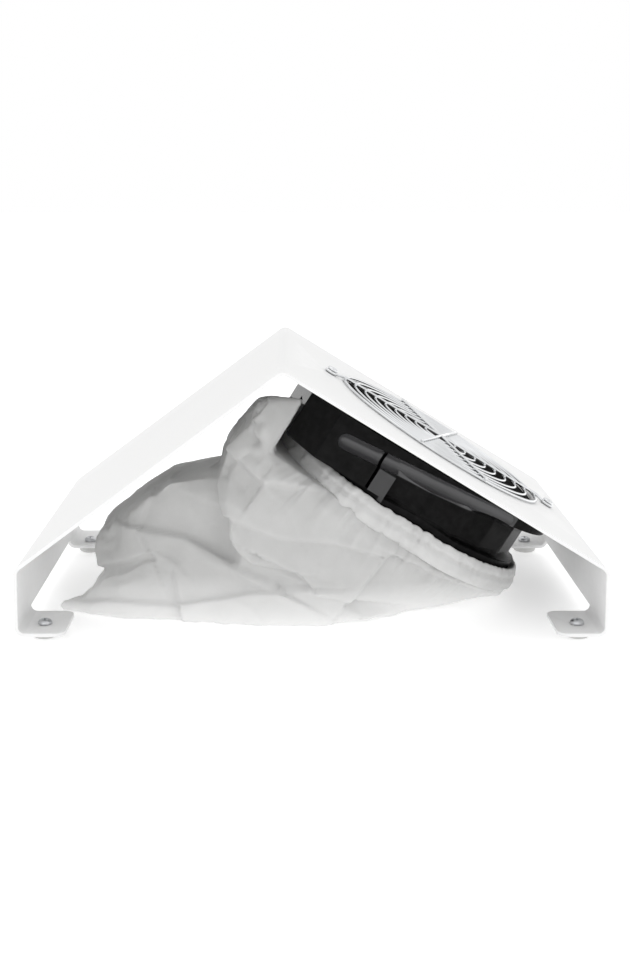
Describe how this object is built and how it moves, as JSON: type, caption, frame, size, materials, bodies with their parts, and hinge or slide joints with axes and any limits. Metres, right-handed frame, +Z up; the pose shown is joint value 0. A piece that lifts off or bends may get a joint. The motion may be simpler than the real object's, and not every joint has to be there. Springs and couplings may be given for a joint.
{
  "type": "nail dust collector",
  "caption": "Folded white sheet hand rest with a round wire guard and axial fan under one slope that blows nail dust into a soft elastic-necked cloth bag.",
  "frame": {"origin": "on the table, under the middle of the stand's bounding box", "axes": "+X along the stand from the plain slope to the fan slope, +Y along the ridge, +Z up"},
  "size_m": [0.334, 0.215, 0.1552],
  "materials": {
    "white_coat": "white powder coat, fine orange peel, low sheen",
    "black_casting": "black stoved paint on die-cast aluminium, satin to glossy",
    "pale_rubber": "matte pale grey rubber",
    "gasket_foam": "matte black foam rubber",
    "guard_chrome": "bright chrome-plated steel wire",
    "zinc": "bright zinc-plated steel",
    "steel": "drawn steel, lightly brushed",
    "impeller_black": "black painted steel blades and hub",
    "bronze": "sintered bronze bush",
    "laminations": "stacked steel laminations, dark varnish",
    "copper_windings": "varnished copper wire",
    "terminal_plastic": "moulded black plastic",
    "tin": "tin-plated blade terminal",
    "bag_cloth": "thin white non-woven cloth, matte, slightly see-through",
    "elastic": "white elastic band"
  },
  "bodies": {
    "stand": {"stand_sheet": "white_coat", "foot_near_left": "pale_rubber", "foot_screw_near_left": "zinc", "foot_nut_near_left": "zinc", "foot_far_left": "pale_rubber", "foot_screw_far_left": "zinc", "foot_nut_far_left": "zinc", "foot_near_right": "pale_rubber", "foot_screw_near_right": "zinc", "foot_nut_near_right": "zinc", "foot_far_right": "pale_rubber", "foot_screw_far_right": "zinc", "foot_nut_far_right": "zinc", "fan_frame": "black_casting", "fan_gasket": "gasket_foam", "stator_core": "laminations", "winding_front": "copper_windings", "winding_rear": "copper_windings", "bearing_front": "bronze", "bearing_rear": "bronze", "terminal_live": "tin", "terminal_neutral": "tin", "terminal_block": "terminal_plastic", "finger_guard": "guard_chrome", "guard_screw_upper": "guard_chrome", "guard_washer_upper": "zinc", "guard_nut_upper": "zinc", "guard_screw_lower": "guard_chrome", "guard_washer_lower": "zinc", "guard_nut_lower": "zinc", "dust_bag": "bag_cloth", "bag_hem": "bag_cloth", "bag_elastic": "elastic"},
    "rotor": {"impeller": "impeller_black", "rotor_cup": "steel", "shaft": "steel", "circlip": "steel"}
  },
  "joints": [
    {"name": "impeller_spin", "type": "hinge", "parent": "stand", "child": "rotor", "pos_m": [0.08227, 0, 0.09582], "axis": [0.5254, 0, 0.8509], "continuous": true}
  ]
}
